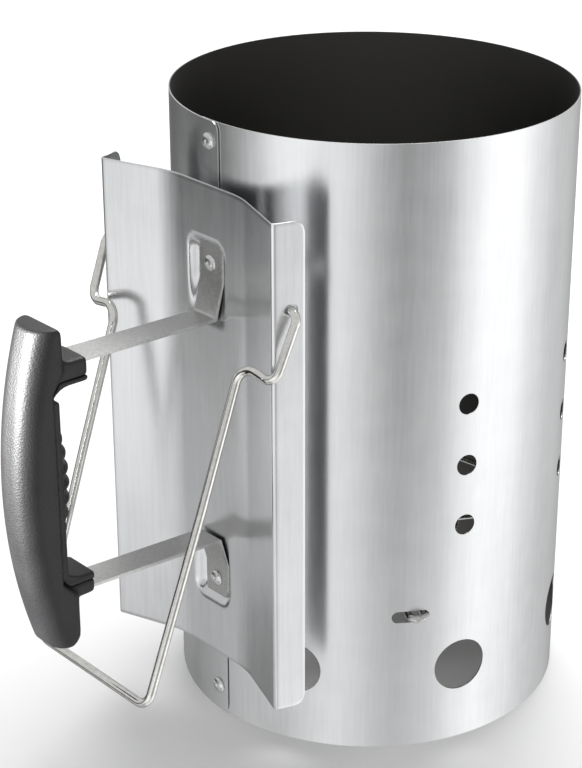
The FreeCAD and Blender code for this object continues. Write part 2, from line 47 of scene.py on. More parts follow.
# ---- sizes that the looks share with the design, in millimetres ---------------------------
SHEET = 0.7
SHELL_RADIUS = 95.0
LAP_INNER_EDGE = 174.5
LAP_OUTER_EDGE = 181.7
LAP_LIFT_START = 140.0
LAP_LIFT = 4.27
LAP_CORNER = 4.0
SEAM_RIVET_ANGLE = 178.1
VENT_RADIUS = 13.25
VENT_HEIGHT = 40.0
VENT_ANGLES = (0, 56.5, 105.5, 154.5, 205.5, 254.5, 303.5)
DRAUGHT_RADIUS = 5.1
DRAUGHT_HEIGHTS = (115.0, 145.5, 176.0)
DRAUGHT_ANGLES = (0, 56.5, 105.5, 254.5, 303.5)
SLOT_LENGTH = 18.0
SLOT_WIDTH = 6.0
SLOT_HEIGHT = 70.7
SLOT_ANGLE = 59.0

SHIELD_PANEL = (-100.8, 24.1)
SHIELD_BEND = (-113.4, 59.5)
SHIELD_EDGE = (-99.4, 64.1)
SHIELD_CORNER = 5.0
SHIELD_EDGE_BEND = 1.6
SHIELD_PANEL_BEND = 45.0
SHIELD_STEP = 1.1
SHIELD_ROWS = 130
POCKET_DEPTH = 4.15
POCKET_HALF = 12.5
POCKET_MARGIN = 1.6                 # from a strap tab's end to the end of its pocket
POCKET_CORNER = 6.0
POCKET_WALL = 4.5
POCKET_LENGTH = 38.0
POCKET_FLAT = 19.5

BAIL_WIRE = 4.2
BAIL_PIVOT = (-105.5, 233.5)
BAIL_HOLE = 3.0
BAIL_HALF = ((-105.5, 54.0, 233.5), (-105.5, 67.5, 233.5), (-117.6, 65.6, 203.6),
             (-118.4, 44.4, 207.2), (-141.0, 43.6, 143.0), (-172.2, 41.3, 54.8))
BAIL_BENDS = (0, 5.0, 6.0, 8.0, 120.0, 7.0)

CARRIER_WIRE = 3.6
CARRIER_HALF = 3.7
CARRIER_REACH = 97.9
CARRIER_RISE = 1.85
CARRIER_CROSSING = 9.0
CARRIER_LEVEL = 20.0
CARRIER_BEND = 6.0
CARRIER_ANGLE = 60.93
RING_WIRE = 3.0
RING_RADII = (24.0, 44.0, 64.0, 84.0)
RING_HEIGHT = 74.02
RING_STEPS = 120

RIVET_HEAD = 3.9
RIVET_HEAD_HEIGHT = 1.7
RIVET_SEAT_GAP = 0.1
PARTING_LINE = -193.0              # joint between the two halves of the grip

PUNCH_DEPTH = 0.03                 # metres, well past the sheet on both sides


# ---- small helpers ------------------------------------------------------------------------
def linear(hex_colour):
    """Linear RGBA of an sRGB hex colour."""
    channels = [int(hex_colour[i:i + 2], 16) / 255 for i in (1, 3, 5)]
    return [c / 12.92 if c <= 0.04045 else ((c + 0.055) / 1.055) ** 2.4 for c in channels] + [1.0]


def add(tree, kind, inputs=None, **settings):
    """Add a node with its settings; an input is a value or a socket to link from."""
    node = tree.nodes.new(kind)
    for key, value in settings.items():
        setattr(node, key, value)
    for key, value in (inputs or {}).items():
        if isinstance(value, bpy.types.NodeSocket):
            tree.links.new(value, node.inputs[key])
        else:
            node.inputs[key].default_value = value
    return node


def polar(radius, angle, z=0.0):
    """Point at a polar angle in degrees, in millimetres."""
    turn = math.radians(angle)
    return Vector((radius * math.cos(turn), radius * math.sin(turn), z))


def smooth_step(low, high, value):
    """Soft ramp from 0 at low to 1 at high."""
    t = min(max((value - low) / (high - low), 0.0), 1.0)
    return t * t * (3 - 2 * t)


def ease(piece, width_mm, angle):
    """Small rounding of every edge that turns by more than the angle."""
    bevel = piece.modifiers.new("ease", "BEVEL")
    bevel.width = width_mm * MM
    bevel.segments = 2
    bevel.limit_method = "ANGLE"
    bevel.angle_limit = math.radians(angle)


def mesh_object(name, points, faces=(), edges=()):
    """Object from points in millimetres."""
    mesh = bpy.data.meshes.new(name)
    mesh.from_pydata([Vector(p) * MM for p in points], edges, faces)
    mesh.update()
    made = bpy.data.objects.new(name, mesh)
    bpy.context.scene.collection.objects.link(made)
    return made


def finished(name, source, material=None):
    """Plain mesh object of the source with its modifiers applied; the source is removed."""
    bpy.context.view_layer.update()
    evaluated = source.evaluated_get(bpy.context.evaluated_depsgraph_get())
    mesh = bpy.data.meshes.new_from_object(evaluated)
    bpy.data.objects.remove(source)
    mesh.name = name
    if material:
        mesh.materials.clear()
        mesh.materials.append(material)
    made = bpy.data.objects.new(name, mesh)
    bpy.context.scene.collection.objects.link(made)
    return made


def smooth_by_angle(piece, degrees):
    """Smooth shading with sharp edges where faces turn by more than the angle."""
    piece.data.polygons.foreach_set("use_smooth", [True] * len(piece.data.polygons))
    piece.data.set_sharp_from_angle(angle=math.radians(degrees))


def place(piece, body, slot, *nodes):
    """Ride a body and stand for CAD nodes; the slot argument is not used."""
    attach(piece, body)
    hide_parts(*nodes)
    return piece


# ---- geometry node trees ------------------------------------------------------------------
def geometry_tree(name, numbers):
    """Empty tree with a geometry input, named number inputs, a material input and an output."""
    tree = bpy.data.node_groups.new(name, "GeometryNodeTree")
    face = tree.interface
    face.new_socket("Geometry", in_out="INPUT", socket_type="NodeSocketGeometry")
    for label, value in numbers.items():
        kind = "NodeSocketInt" if isinstance(value, int) else "NodeSocketFloat"
        face.new_socket(label, in_out="INPUT", socket_type=kind).default_value = value
    face.new_socket("Material", in_out="INPUT", socket_type="NodeSocketMaterial")
    face.new_socket("Geometry", in_out="OUTPUT", socket_type="NodeSocketGeometry")
    return tree, tree.nodes.new("NodeGroupInput").outputs


def end_tree(tree, geometry, material):
    """Realise, set the material and finish the tree."""
    real = add(tree, "GeometryNodeRealizeInstances", {"Geometry": geometry})
    coated = add(tree, "GeometryNodeSetMaterial", {"Geometry": real.outputs[0], "Material": material})
    add(tree, "NodeGroupOutput", {"Geometry": coated.outputs[0]})
    return tree


def grow(name, base, tree, material, **numbers):
    """Run a tree on a base object and keep the result as a plain mesh."""
    modifier = base.modifiers.new(name, "NODES")
    modifier.node_group = tree
    wanted = {**{k.replace("_", " "): v for k, v in numbers.items()}, "Material": material}
    for socket in tree.interface.items_tree:
        if socket.in_out == "INPUT" and socket.name in wanted:
            modifier[socket.identifier] = wanted[socket.name]
    return finished(name, base)


def wire_tree():
    """Round wire along a line of corners, each corner bent to its own radius."""
    tree, given = geometry_tree("round_wire", {"Wire Radius": 0.002, "Sides": 20, "Bend Steps": 10})
    path = add(tree, "GeometryNodeMeshToCurve", {"Mesh": given["Geometry"]})
    bend = add(tree, "GeometryNodeInputNamedAttribute", {"Name": "bend"}, data_type="FLOAT")
    bent = add(tree, "GeometryNodeFilletCurve", {
        "Curve": path.outputs[0], "Radius": bend.outputs["Attribute"], "Count": given["Bend Steps"],
        "Limit Radius": True}, mode="POLY")
    section = add(tree, "GeometryNodeCurvePrimitiveCircle", {
        "Resolution": given["Sides"], "Radius": given["Wire Radius"]})
    wire = add(tree, "GeometryNodeCurveToMesh", {
        "Curve": bent.outputs[0], "Profile Curve": section.outputs[0], "Fill Caps": True})
    return end_tree(tree, wire.outputs[0], given["Material"])


def cut_tree():
    """Cut round pins and square bars out of a sheet, at marks that carry their size and turn."""
    tree, given = geometry_tree("punched_sheet", {"Cutter Depth": PUNCH_DEPTH, "Sides": 64})
    marks = add(tree, "GeometryNodeSeparateGeometry", {
        "Geometry": given["Geometry"],
        "Selection": add(tree, "GeometryNodeInputNamedAttribute", {"Name": "mark"},
                         data_type="BOOLEAN").outputs["Attribute"]}, domain="POINT")
    size = add(tree, "GeometryNodeInputNamedAttribute", {"Name": "size"}, data_type="FLOAT_VECTOR")
    turn = add(tree, "GeometryNodeInputNamedAttribute", {"Name": "turn"}, data_type="FLOAT_VECTOR")
    bar = add(tree, "GeometryNodeInputNamedAttribute", {"Name": "bar"}, data_type="BOOLEAN")
    round_mark = add(tree, "FunctionNodeBooleanMath", {0: bar.outputs["Attribute"]}, operation="NOT")
    rotation = add(tree, "FunctionNodeEulerToRotation", {"Euler": turn.outputs["Attribute"]})
    pin = add(tree, "GeometryNodeMeshCylinder", {
        "Vertices": given["Sides"], "Radius": 1.0, "Depth": given["Cutter Depth"]})
    depth = add(tree, "ShaderNodeCombineXYZ", {"X": 1.0, "Y": 1.0, "Z": given["Cutter Depth"]})
    block = add(tree, "GeometryNodeMeshCube", {"Size": depth.outputs[0]})
    cutters = []
    for shape, chosen in ((pin, round_mark.outputs[0]), (block, bar.outputs["Attribute"])):
        cutters.append(add(tree, "GeometryNodeInstanceOnPoints", {
            "Points": marks.outputs["Selection"], "Selection": chosen, "Instance": shape.outputs["Mesh"],
            "Rotation": rotation.outputs[0], "Scale": size.outputs["Attribute"]}).outputs[0])
    joined = add(tree, "GeometryNodeJoinGeometry")
    for cutter in cutters:
        tree.links.new(cutter, joined.inputs[0])
    real = add(tree, "GeometryNodeRealizeInstances", {"Geometry": joined.outputs[0]})
    cut = add(tree, "GeometryNodeMeshBoolean", {
        "Mesh 1": marks.outputs["Inverted"], "Mesh 2": real.outputs[0], "Self Intersection": True},
        operation="DIFFERENCE", solver="EXACT")
    return end_tree(tree, cut.outputs["Mesh"], given["Material"])


def stud_tree():
    """Copies of one turned stud at marks that carry their turn."""
    tree, given = geometry_tree("set_studs", {"Size": 1.0})
    marks = add(tree, "GeometryNodeSeparateGeometry", {
        "Geometry": given["Geometry"],
        "Selection": add(tree, "GeometryNodeInputNamedAttribute", {"Name": "mark"},
                         data_type="BOOLEAN").outputs["Attribute"]}, domain="POINT")
    turn = add(tree, "GeometryNodeInputNamedAttribute", {"Name": "turn"}, data_type="FLOAT_VECTOR")
    rotation = add(tree, "FunctionNodeEulerToRotation", {"Euler": turn.outputs["Attribute"]})
    studs = add(tree, "GeometryNodeInstanceOnPoints", {
        "Points": marks.outputs["Selection"], "Instance": marks.outputs["Inverted"],
        "Rotation": rotation.outputs[0], "Scale": given["Size"]})
    return end_tree(tree, studs.outputs[0], given["Material"])


WIRE_TREE = wire_tree()
CUT_TREE = cut_tree()
STUD_TREE = stud_tree()


def add_marks(sheet, marks):
    """Add loose points to an object: (place, turn, size, bar) with the place in millimetres."""
    mesh = sheet.data
    first = len(mesh.vertices)
    mesh.vertices.add(len(marks))
    for i, (spot, _turn, _size, _bar) in enumerate(marks):
        mesh.vertices[first + i].co = Vector(spot) * MM
    for label in ("mark", "bar"):
        mesh.attributes.new(label, "BOOLEAN", "POINT")
    for label in ("turn", "size"):
        mesh.attributes.new(label, "FLOAT_VECTOR", "POINT")
    for i, (_spot, turn, size, bar) in enumerate(marks):
        mesh.attributes["mark"].data[first + i].value = True
        mesh.attributes["bar"].data[first + i].value = bar
        mesh.attributes["turn"].data[first + i].vector = turn
        mesh.attributes["size"].data[first + i].vector = size
    mesh.update()
    return sheet


def radial_mark(radius, angle, z, size_mm, aside=0.0):
    """Mark of a round cutter that points away from the axis."""
    spot = polar(radius, angle, z) + polar(aside, angle + 90)
    size = size_mm * MM
    return spot, (0, math.pi / 2, math.radians(angle)), (size, size, 1), False


# ---- materials ----------------------------------------------------------------------------
def start_material(name):
    """New material with a principled shader and object coordinates."""
    material = bpy.data.materials.new(name)
    material.use_nodes = True
    tree = material.node_tree
    tree.nodes.clear()
    shader = add(tree, "ShaderNodeBsdfPrincipled")
    add(tree, "ShaderNodeOutputMaterial", {"Surface": shader.outputs[0]})
    place_on = add(tree, "ShaderNodeTexCoord").outputs["Object"]
    return material, tree, shader, place_on


def noise(tree, where, size_mm, detail, roughness=0.5):
    """Noise whose features are about this many millimetres wide; returns the value socket."""
    node = add(tree, "ShaderNodeTexNoise", {
        "Vector": where, "Scale": 1 / (size_mm * MM), "Detail": detail, "Roughness": roughness})
    return node.outputs["Fac"]


def tinted(tree, value, dark, light, low, high):
    """Colour that runs from dark at the low value to light at the high value."""
    tint = add(tree, "ShaderNodeValToRGB", {"Fac": value})
    for stop, position, colour in zip(tint.color_ramp.elements, (low, high), (dark, light)):
        stop.position = position
        stop.color = linear(colour)
    return tint.outputs[0]


def varied(tree, value, smoothest, roughest):
    """Roughness that follows a noise value."""
    return add(tree, "ShaderNodeMapRange", {
        "Value": value, "From Min": 0.3, "From Max": 0.7,
        "To Min": smoothest, "To Max": roughest}).outputs[0]


def bumped(tree, height, strength, depth_mm):
    """Normal of a surface with a fine relief."""
    return add(tree, "ShaderNodeBump", {
        "Height": height, "Strength": strength, "Distance": depth_mm * MM}).outputs[0]


def finish(tree, shader, colour, roughness, normal):
    """Connect a finish to its shader."""
    for key, socket in (("Base Color", colour), ("Roughness", roughness), ("Normal", normal)):
        tree.links.new(socket, shader.inputs[key])


def sheet_steel(name, dark, light, roughness, spread, grain_mm, mottle_mm):
    """Coated sheet steel: fine rolling grain drawn up the sheet over a soft mottle."""
    material, tree, shader, where = start_material(name)
    drawn_up = add(tree, "ShaderNodeMapping", {"Vector": where, "Scale": (1.0, 1.0, 0.06)})
    grain = noise(tree, drawn_up.outputs[0], grain_mm, 4.0, 0.6)
    mottle = noise(tree, where, mottle_mm, 5.0, 0.55)
    both = add(tree, "ShaderNodeMix", {
        "Factor": 0.5, "A": mottle, "B": grain}, data_type="FLOAT").outputs[0]
    colour = tinted(tree, both, dark, light, 0.32, 0.68)
    rough = varied(tree, both, roughness - spread, roughness + spread)
    finish(tree, shader, colour, rough, bumped(tree, noise(tree, where, 0.8, 2.0), 0.25, 0.02))
    shader.inputs["Metallic"].default_value = 1.0
    return material, tree, shader, where, colour, rough


def rolled_wall(painted_inside_shade, inner_radius_mm, extra_roughness, stretch, *sheet):
    """Sheet steel rolled round: highlights stretch up the wall, and the inside is dull, with painted shade
    darkening its colour.
    """
    material, tree, shader, where, colour, rough = sheet_steel(*sheet)
    spot = add(tree, "ShaderNodeVectorMath", {0: where, 1: (1.0, 1.0, 0.0)}, operation="MULTIPLY")
    away = add(tree, "ShaderNodeVectorMath", {0: spot.outputs[0]}, operation="LENGTH")
    inside = add(tree, "ShaderNodeMath", {
        0: away.outputs["Value"], 1: inner_radius_mm * MM}, operation="LESS_THAN").outputs[0]
    # Painted shade: inside the wall the colour is mixed to a flat dark grey that stands in for the shade
    # inside the chimney.
    inside_shade_mix = add(tree, "ShaderNodeMix", {
        "Factor": inside, "A": colour, "B": linear(painted_inside_shade)}, data_type="RGBA")
    dull = add(tree, "ShaderNodeMath", {0: inside, 1: extra_roughness, 2: rough}, operation="MULTIPLY_ADD")
    tangent = add(tree, "ShaderNodeTangent", direction_type="RADIAL", axis="Z")
    for key, socket in (("Base Color", inside_shade_mix.outputs["Result"]), ("Roughness", dull.outputs[0]),
                        ("Tangent", tangent.outputs[0])):
        tree.links.new(socket, shader.inputs[key])
    shader.inputs["Anisotropic"].default_value = stretch
    shader.inputs["Anisotropic Rotation"].default_value = 0.25
    return material


def drawn_metal(name, dark, light, roughness, spread, grain_mm):
    """Plated wire, rivets and straps: bright metal with fine handling marks."""
    material, tree, shader, where = start_material(name)
    marks = noise(tree, where, grain_mm, 6.0, 0.7)
    finish(tree, shader, tinted(tree, marks, dark, light, 0.35, 0.65),
           varied(tree, marks, roughness - spread, roughness + spread), bumped(tree, marks, 0.15, 0.03))
    shader.inputs["Metallic"].default_value = 1.0
    return material


def moulded_plastic(name, dark, light, roughness, grit_mm, grit_depth_mm):
    """Black glass-filled nylon from a spark-eroded mould: fine even grit, soft sheen."""
    material, tree, shader, where = start_material(name)
    grit = noise(tree, where, grit_mm, 3.0, 0.6)
    cells = add(tree, "ShaderNodeTexVoronoi", {"Vector": where, "Scale": 1 / (grit_mm * 1.3 * MM)})
    height = add(tree, "ShaderNodeMath", {
        0: grit, 1: cells.outputs["Distance"]}, operation="ADD").outputs[0]
    finish(tree, shader, tinted(tree, noise(tree, where, 14.0, 3.0), dark, light, 0.35, 0.7),
           varied(tree, grit, roughness - 0.05, roughness + 0.06), bumped(tree, height, 0.6, grit_depth_mm))
    shader.inputs["IOR"].default_value = 1.53
    shader.inputs["Specular IOR Level"].default_value = 0.4
    return material


# Hot-dip aluminised sheet: satin, with the rolling grain up the wall and a soft grey mottle; the inside is
# darkened to grey #5a5957 as painted shade.
SHELL_STEEL = rolled_wall("#5a5957", SHELL_RADIUS - 0.6 * SHEET, 0.22, 0.6,
                          "aluminised_rolled_sheet", "#d3d4d5", "#dedfe0", 0.25, 0.02, 1.6, 16.0)
# The same sheet on the shield, flatter and a little brighter because it is pressed, not rolled round.
SHIELD_STEEL = sheet_steel("aluminised_pressed_sheet", "#d3d4d6", "#e1e2e3", 0.24, 0.02, 2.0, 22.0)[0]
# Zinc-plated flat bar: duller, even light grey.
STRAP_STEEL = drawn_metal("zinc_plated_flat_bar", "#b2b2b1", "#cacac8", 0.36, 0.05, 1.2)
# Nickel-plated spring wire: bright, with sharp streaks of light.
BRIGHT_WIRE = drawn_metal("nickel_plated_wire", "#d6d5d2", "#ebeae6", 0.13, 0.04, 2.5)
# Bright aluminium blind rivets.
RIVET_METAL = drawn_metal("bright_rivet_aluminium", "#c9cacb", "#e6e6e6", 0.22, 0.06, 0.9)
# Zinc-plated grate wire, duller than the bail.
GRATE_WIRE = drawn_metal("zinc_plated_grate_wire", "#b0b1b0", "#cfcfcd", 0.25, 0.07, 1.5)
# Screws with a darker zinc finish.
SCREW_METAL = drawn_metal("zinc_plated_screw", "#8e8f90", "#b5b6b7", 0.3, 0.06, 0.7)
# Nylon grip with a fine spark-eroded grit.
GRIP_NYLON = moulded_plastic("black_moulded_nylon", "#131314", "#1a1a1b", 0.46, 0.7, 0.12)
# The finger side is a touch duller, because it is handled.
COVER_NYLON = moulded_plastic("black_moulded_nylon_finger_side", "#151516", "#1c1c1d", 0.5, 0.6, 0.1)


# ---- shell --------------------------------------------------------------------------------
def lifted_radius(layer, angle):
    """Distance from the axis to the lifting arc of the outer layer."""
    turn = math.radians(angle - LAP_LIFT_START)
    rho = layer + LAP_LIFT
    return math.sqrt(rho ** 2 - (LAP_LIFT * math.sin(turn)) ** 2) - LAP_LIFT * math.cos(turn)


def shell_wall():
    """Rolled wall as a closed mesh: the sheet starts under the lap and ends over it."""
    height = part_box("shell")[1].z / MM
    last = LAP_OUTER_EDGE + 360
    corner_turn = math.degrees(LAP_CORNER / SHELL_RADIUS)
    steps = 300
    angles = [LAP_INNER_EDGE + (last - corner_turn - LAP_INNER_EDGE) * i / steps for i in range(steps + 1)]
    corner_steps = 8
    for i in range(1, corner_steps + 1):
        angles.append(last - corner_turn * math.cos(math.pi / 2 * i / corner_steps))
    points = []
    for angle in angles:
        lifted = angle > LAP_LIFT_START + 360
        pair = []
        for layer in (SHELL_RADIUS, SHELL_RADIUS - SHEET):
            pair.append(lifted_radius(layer, angle - 360) if lifted else layer)
        inset = max(0.0, 1 - (last - angle) / corner_turn)
        trim = LAP_CORNER * (1 - math.sqrt(1 - inset * inset))
        for radius in pair:
            points += [polar(radius, angle, trim), polar(radius, angle, height - trim)]
    faces = []
    for i in range(len(angles) - 1):
        a, b = 4 * i, 4 * (i + 1)
        faces += [(a, b, b + 1, a + 1), (a + 3, b + 3, b + 2, a + 2),
                  (a + 1, b + 1, b + 3, a + 3), (a + 2, b + 2, b, a)]
    end = 4 * (len(angles) - 1)
    faces += [(0, 1, 3, 2), (end + 1, end, end + 2, end + 3)]
    return mesh_object("shell_wall_base", points, faces)


def shell_marks():
    """Marks of every vent, draught hole and grate slot."""
    marks = [radial_mark(SHELL_RADIUS, a, VENT_HEIGHT, VENT_RADIUS) for a in VENT_ANGLES]
    marks += [radial_mark(SHELL_RADIUS, a, z, DRAUGHT_RADIUS)
              for a in DRAUGHT_ANGLES for z in DRAUGHT_HEIGHTS]
    half = (SLOT_LENGTH - SLOT_WIDTH) / 2
    for quarter in range(4):
        angle = SLOT_ANGLE + 90 * quarter
        marks += [radial_mark(SHELL_RADIUS, angle, SLOT_HEIGHT, SLOT_WIDTH / 2, side * half)
                  for side in (-1, 1)]
        marks.append((polar(SHELL_RADIUS, angle, SLOT_HEIGHT), (0, math.pi / 2, math.radians(angle)),
                      (SLOT_WIDTH * MM, 2 * half * MM, 1), True))
    return marks


def true_normals(piece):
    """Give the rolled wall the normals of its true arcs, and every cut edge its flat normal."""
    mesh = piece.data
    lift_centre = polar(-LAP_LIFT, LAP_LIFT_START) * MM
    normals = [None] * len(mesh.loops)
    for face in mesh.polygons:
        face.use_smooth = True
        flat = face.normal.copy()
        for loop in face.loop_indices:
            spot = mesh.vertices[mesh.loops[loop].vertex_index].co
            chosen = flat
            if abs(flat.z) < 0.3:
                best = 0.995
                for centre in (Vector((0, 0, 0)), lift_centre):
                    away = Vector((spot.x - centre.x, spot.y - centre.y, 0)).normalized()
                    match = away.dot(flat)
                    if abs(match) > best:
                        best = abs(match)
                        chosen = away if match > 0 else -away
            normals[loop] = chosen
    mesh.normals_split_custom_set(normals)
    return piece


wall = add_marks(shell_wall(), shell_marks())
wall = grow("shell_wall", wall, CUT_TREE, SHELL_STEEL, Cutter_Depth=PUNCH_DEPTH, Sides=72)
place(true_normals(wall), "chimney", "shell_sheet", "shell")


# ---- heat shield --------------------------------------------------------------------------
def rounded_line(corners, bends, steps):
    """Points along a flat line whose inner corners are bent to the given radii."""
    line = [Vector(corners[0])]
    for before, corner, after, bend in zip(corners, corners[1:], corners[2:], bends):
        arriving = (Vector(corner) - Vector(before)).normalized()
        leaving = (Vector(after) - Vector(corner)).normalized()
        turn = arriving.angle(leaving)
        setback = bend * math.tan(turn / 2)
        inward = (leaving - arriving).normalized()
        centre = Vector(corner) + inward * (bend / math.cos(turn / 2))
        first = Vector(corner) - arriving * setback
        spoke = first - centre
        sign = 1 if arriving.x * leaving.y - arriving.y * leaving.x > 0 else -1
        for i in range(steps + 1):
            line.append(centre + Matrix.Rotation(sign * turn * i / steps, 2) @ spoke)
    line.append(Vector(corners[-1]))
    return line


def even_steps(line, step):
    """The same line with long runs divided into steps."""
    fine = [line[0]]
    for before, after in zip(line, line[1:]):
        count = max(1, round((after - before).length / step))
        fine += [before.lerp(after, i / count) for i in range(1, count + 1)]
    return fine


def pocket_depth(y, z, upper_end, lower_end):
    """Depth of the two pressed pockets behind the strap tabs, in millimetres."""
    depth = 0.0
    for inward in (upper_end - z, z - lower_end):
        beside = abs(y) - (POCKET_HALF - POCKET_CORNER)
        before = POCKET_CORNER - inward
        corner = math.hypot(max(beside, 0.0), max(before, 0.0)) + min(max(beside, before), 0.0)
        wall = 1 - smooth_step(POCKET_CORNER - POCKET_WALL, POCKET_CORNER + 1.0, corner)
        fade = min(max((POCKET_LENGTH - inward) / (POCKET_LENGTH - POCKET_FLAT), 0.0), 1.0)
        depth = max(depth, wall * fade)
    return POCKET_DEPTH * depth


def shield_sheet():
    """Bent sheet with pressed pockets, as a closed mesh of even thickness."""
    low, high = (corner.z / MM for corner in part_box("heat_shield"))
    corners = [(SHIELD_EDGE[0], -SHIELD_EDGE[1]), (SHIELD_BEND[0], -SHIELD_BEND[1]),
               (SHIELD_PANEL[0], -SHIELD_PANEL[1]), (SHIELD_PANEL[0], SHIELD_PANEL[1]),
               SHIELD_BEND, SHIELD_EDGE]
    bends = (SHIELD_EDGE_BEND, SHIELD_PANEL_BEND, SHIELD_PANEL_BEND, SHIELD_EDGE_BEND)
    line = even_steps(rounded_line(corners, bends, 10), SHIELD_STEP)
    lengths = [0.0]
    for before, after in zip(line, line[1:]):
        lengths.append(lengths[-1] + (after - before).length)
    upper_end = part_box("handle_strap_upper")[1].z / MM + POCKET_MARGIN
    lower_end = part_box("handle_strap_lower")[0].z / MM - POCKET_MARGIN
    rows = SHIELD_ROWS
    points = []
    for i, spot in enumerate(line):
        ahead = line[min(i + 1, len(line) - 1)] - line[max(i - 1, 0)]
        out = Vector((-ahead.y, ahead.x)).normalized()
        edge = min(lengths[i], lengths[-1] - lengths[i])
        inset = max(0.0, 1 - edge / SHIELD_CORNER)
        trim = SHIELD_CORNER * (1 - math.sqrt(1 - inset * inset))
        for row in range(rows + 1):
            z = low + trim + (high - low - 2 * trim) * row / rows
            depth = pocket_depth(spot.y, z, upper_end, lower_end)
            for side in (1, -1):
                shift = out * (side * SHEET / 2)
                points.append((spot.x + shift.x + depth, spot.y + shift.y, z))
    faces = []

    def index(i, row, side):
        return 2 * (i * (rows + 1) + row) + side

    last = len(line) - 1
    for i in range(last):
        for row in range(rows):
            cell = ((i, row), (i, row + 1), (i + 1, row + 1), (i + 1, row))
            faces.append([index(*corner, 0) for corner in cell])
            faces.append([index(*corner, 1) for corner in cell[:1] + cell[:0:-1]])
        for row, flip in ((0, False), (rows, True)):
            rim = (index(i, row, 0), index(i + 1, row, 0), index(i + 1, row, 1), index(i, row, 1))
            faces.append(rim[::-1] if flip else rim)
    for row in range(rows):
        for i, flip in ((0, True), (last, False)):
            rim = (index(i, row, 0), index(i, row + 1, 0), index(i, row + 1, 1), index(i, row, 1))
            faces.append(rim[::-1] if flip else rim)
    return mesh_object("shield_base", points, faces)


def outward(piece):
    """Recalculate the normals of a closed mesh so that they face outwards."""
    work = bmesh.new()
    work.from_mesh(piece.data)
    bmesh.ops.remove_doubles(work, verts=work.verts, dist=1e-7)
    bmesh.ops.recalc_face_normals(work, faces=work.faces)
    work.to_mesh(piece.data)
    work.free()
    return piece


flange_y = (SHIELD_BEND[1] + SHIELD_EDGE[1]) / 2
bail_holes = [((BAIL_PIVOT[0], side * flange_y, BAIL_PIVOT[1]), (math.pi / 2, 0, 0),
               (BAIL_HOLE * MM, BAIL_HOLE * MM, 0.3), False) for side in (-1, 1)]
shield = add_marks(outward(shield_sheet()), bail_holes)
ease(shield, 0.16, 50)
shield = grow("heat_shield_sheet", shield, CUT_TREE, SHIELD_STEEL, Cutter_Depth=PUNCH_DEPTH, Sides=40)
smooth_by_angle(shield, 35)
place(shield, "chimney", "shield_sheet", "heat_shield")


# ---- wires --------------------------------------------------------------------------------
def wire(name, corners, bends, diameter, material, closed=False, steps=12):
    """Round wire through the corners, in millimetres."""
    count = len(corners)
    edges = [(i, i + 1) for i in range(count - 1)] + ([(count - 1, 0)] if closed else [])
    base = mesh_object(name + "_line", corners, edges=edges)
    bend = base.data.attributes.new("bend", "FLOAT", "POINT")
    for i, radius in enumerate(bends):
        bend.data[i].value = radius * MM
    made = grow(name, base, WIRE_TREE, material, Wire_Radius=diameter / 2 * MM, Sides=20, Bend_Steps=steps)
    smooth_by_angle(outward(made), 50)
    return made


bail_line = list(BAIL_HALF) + [(x, -y, z) for x, y, z in reversed(BAIL_HALF)]
bail_bends = list(BAIL_BENDS) + list(reversed(BAIL_BENDS))
place(wire("bail_wire", bail_line, bail_bends, BAIL_WIRE, BRIGHT_WIRE), "bail", "bail_wire", "bail")


def carrier(name, quarter, side):
    """Hairpin loop of grate wire that dips or rises where the two pairs cross."""
    turn = Matrix.Rotation(math.radians(CARRIER_ANGLE + 90 * quarter), 3, "Z")
    rise = side * CARRIER_RISE
    half_leg = [(CARRIER_CROSSING, rise), (CARRIER_LEVEL, 0), (CARRIER_REACH, 0)]
    leg = [(-x, z) for x, z in reversed(half_leg)] + half_leg
    there = [Vector((x, CARRIER_HALF, SLOT_HEIGHT + z)) for x, z in leg]
    back = [Vector((x, -CARRIER_HALF, SLOT_HEIGHT + z)) for x, z in reversed(leg)]
    loop = CARRIER_HALF - 0.05
    bends = ([loop] + [CARRIER_BEND] * 4 + [loop]) * 2
    line = [turn @ p for p in there + back]
    piece = wire(name, line, bends, CARRIER_WIRE, GRATE_WIRE, closed=True)
    return place(piece, "grate", "grate_wire", name.replace("_wire", ""))


carrier("grate_carrier_lower_wire", 0, -1)
carrier("grate_carrier_upper_wire", 1, 1)
for number, ring_radius in enumerate(RING_RADII, start=1):
    circle = [polar(ring_radius, 360 * step / RING_STEPS, RING_HEIGHT) for step in range(RING_STEPS)]
    ring = wire(f"grate_ring_{number}_wire", circle, [0] * RING_STEPS, RING_WIRE, GRATE_WIRE,
                closed=True, steps=1)
    place(ring, "grate", "grate_wire", f"grate_ring_{number}")


# ---- rivets -------------------------------------------------------------------------------
def turned(profile, sides):
    """Points and faces of a turned form from (radius, height) pairs, both ends on the axis."""
    points = [(0, 0, profile[0][1])]
    rings = profile[1:-1]
    for radius, height in rings:
        points += [polar(radius, 360 * s / sides, height) for s in range(sides)]
    points.append((0, 0, profile[-1][1]))
    last = len(points) - 1
    faces = []
    for s in range(sides):
        t = (s + 1) % sides
        faces.append((0, 1 + s, 1 + t))
        for r in range(len(rings) - 1):
            a, b = 1 + r * sides, 1 + (r + 1) * sides
            faces.append((a + s, b + s, b + t, a + t))
        faces.append((last, last - sides + t, last - sides + s))
    return points, faces


def rivet_form():
    """Dome with a rolled rim and the pit that the broken mandrel leaves, a shank and a tail."""
    rim_height = 0.35
    rise = RIVET_HEAD_HEIGHT - rim_height
    dome = [(RIVET_HEAD * math.sin(a), rim_height + rise * math.cos(a))
            for a in map(math.radians, range(18, 91, 6))]
    pit = [(0, 1.2), (0.4, 1.2), (0.7, 1.25), (0.88, 1.46), (0.97, 1.6), (1.08, 1.64)]
    rim = [(RIVET_HEAD, 0.12), (RIVET_HEAD - 0.1, 0.0)]
    tail = [(2.2, 0.0), (2.2, -4.2), (3.2, -4.3), (3.3, -5.2), (2.8, -6.2), (1.5, -6.8), (0, -6.9)]
    return pit + dome + rim + tail


